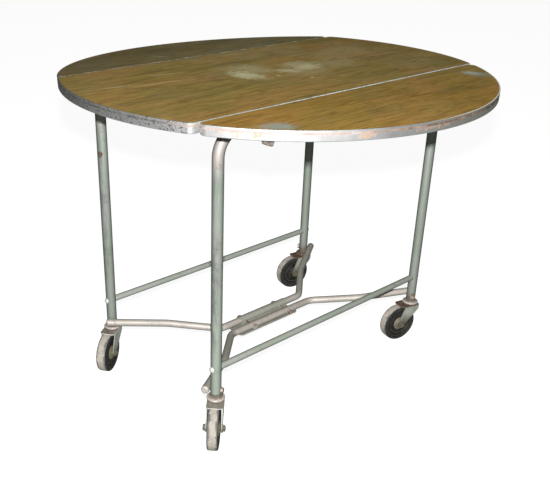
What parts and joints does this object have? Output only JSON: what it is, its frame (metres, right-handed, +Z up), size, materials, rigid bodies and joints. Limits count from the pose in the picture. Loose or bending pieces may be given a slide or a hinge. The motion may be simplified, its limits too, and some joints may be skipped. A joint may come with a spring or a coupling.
{
  "type": "food service trolley",
  "caption": "Round drop-leaf food service trolley: wood-grain top with hinged side leaves on a tubular steel frame with swivel casters.",
  "frame": {"origin": "on the floor under the centre of the round top", "axes": "+Z up, +X along the hinge lines, front leaf towards -Y, back leaf towards +Y"},
  "size_m": [1.0158, 1.0169, 0.765],
  "materials": {
    "laminate": "satin wood-grain laminate, scuffed",
    "core_board": "raw plywood",
    "edge_band": "satin, scratched",
    "nail": "dull, rust spotted",
    "hinge": "dull zinc plate",
    "screw": "zinc plate",
    "stop": "rusted steel",
    "leg_tube": "dull zinc plate with a greenish cast",
    "rail_tube": "dull zinc plate",
    "brace_tube": "dull zinc plate, rust stained",
    "sheet": "dull zinc plate, rust stained",
    "bolt": "zinc plate, rusty",
    "race": "zinc plate, rusty edges",
    "ball": "polished",
    "fork": "zinc plate, grimy",
    "axle": "zinc plate, rusty",
    "wheel_core": "matt black",
    "tyre": "matt grey-beige rubber, scuffed",
    "hub_disc": "zinc plate, grimy"
  },
  "bodies": {
    "root": {"centre_panel_core": "core_board", "centre_panel_laminate": "laminate", "centre_panel_edge_band": "edge_band", "centre_panel_band_nails": "nail", "hinge_fixed_flaps": "hinge", "hinge_pins": "hinge", "hinge_fixed_screws": "screw", "front_leg_frame": "leg_tube", "back_leg_frame": "leg_tube", "front_side_rail": "rail_tube", "back_side_rail": "rail_tube", "run_spacers": "screw", "run_screws": "screw", "rail_rivets": "rail_tube", "front_brace": "brace_tube", "back_brace": "brace_tube", "centre_channel": "sheet", "centre_saddles": "sheet", "centre_bolts": "bolt", "brace_end_bolts": "bolt", "brace_end_nuts": "bolt", "caster_sockets": "race", "swivel_races": "race", "king_pins": "race", "bearing_balls": "ball"},
    "front_leaf": {"front_leaf_core": "core_board", "front_leaf_laminate": "laminate", "front_leaf_edge_band": "edge_band", "front_leaf_band_nails": "nail", "front_hinge_moving_flaps": "hinge", "front_leaf_stops": "stop", "front_leaf_screws": "screw"},
    "back_leaf": {"back_leaf_core": "core_board", "back_leaf_laminate": "laminate", "back_leaf_edge_band": "edge_band", "back_leaf_band_nails": "nail", "back_hinge_moving_flaps": "hinge", "back_leaf_stops": "stop", "back_leaf_screws": "screw"},
    "front_left_swivel": {"front_left_fork": "fork", "front_left_axle": "axle"},
    "front_left_wheel_body": {"front_left_wheel": "wheel_core", "front_left_tyre": "tyre", "front_left_hub_discs": "hub_disc"},
    "back_left_swivel": {"back_left_fork": "fork", "back_left_axle": "axle"},
    "back_left_wheel_body": {"back_left_wheel": "wheel_core", "back_left_tyre": "tyre", "back_left_hub_discs": "hub_disc"},
    "back_right_swivel": {"back_right_fork": "fork", "back_right_axle": "axle"},
    "back_right_wheel_body": {"back_right_wheel": "wheel_core", "back_right_tyre": "tyre", "back_right_hub_discs": "hub_disc"},
    "front_right_swivel": {"front_right_fork": "fork", "front_right_axle": "axle"},
    "front_right_wheel_body": {"front_right_wheel": "wheel_core", "front_right_tyre": "tyre", "front_right_hub_discs": "hub_disc"}
  },
  "joints": [
    {"name": "front_leaf_fold", "type": "hinge", "parent": "root", "child": "front_leaf", "pos_m": [0, -0.238, 0.74], "axis": [1, 0, 0], "range_deg": [-0.3, 91.7]},
    {"name": "back_leaf_fold", "type": "hinge", "parent": "root", "child": "back_leaf", "pos_m": [0, 0.238, 0.74], "axis": [-1, 0, 0], "range_deg": [-4, 88]},
    {"name": "front_left_swivel_turn", "type": "hinge", "parent": "root", "child": "front_left_swivel", "pos_m": [-0.36, -0.21, 0.1052], "axis": [0, 0, 1], "continuous": true},
    {"name": "front_left_wheel_spin", "type": "hinge", "parent": "front_left_swivel", "child": "front_left_wheel_body", "pos_m": [-0.38733, -0.2364, 0.0508], "axis": [0.6947, -0.7193, 0], "continuous": true},
    {"name": "back_left_swivel_turn", "type": "hinge", "parent": "root", "child": "back_left_swivel", "pos_m": [-0.36, 0.21, 0.1052], "axis": [0, 0, 1], "continuous": true},
    {"name": "back_left_wheel_spin", "type": "hinge", "parent": "back_left_swivel", "child": "back_left_wheel_body", "pos_m": [-0.3915, 0.18875, 0.0508], "axis": [0.5592, -0.829, 0], "continuous": true},
    {"name": "back_right_swivel_turn", "type": "hinge", "parent": "root", "child": "back_right_swivel", "pos_m": [0.36, 0.21, 0.1052], "axis": [0, 0, 1], "continuous": true},
    {"name": "back_right_wheel_spin", "type": "hinge", "parent": "back_right_swivel", "child": "back_right_wheel_body", "pos_m": [0.32297, 0.21855, 0.0508], "axis": [-0.225, -0.9744, 0], "continuous": true},
    {"name": "front_right_swivel_turn", "type": "hinge", "parent": "root", "child": "front_right_swivel", "pos_m": [0.36, -0.21, 0.1052], "axis": [0, 0, 1], "continuous": true},
    {"name": "front_right_wheel_spin", "type": "hinge", "parent": "front_right_swivel", "child": "front_right_wheel_body", "pos_m": [0.32329, -0.20016, 0.0508], "axis": [-0.2588, -0.9659, 0], "continuous": true}
  ]
}
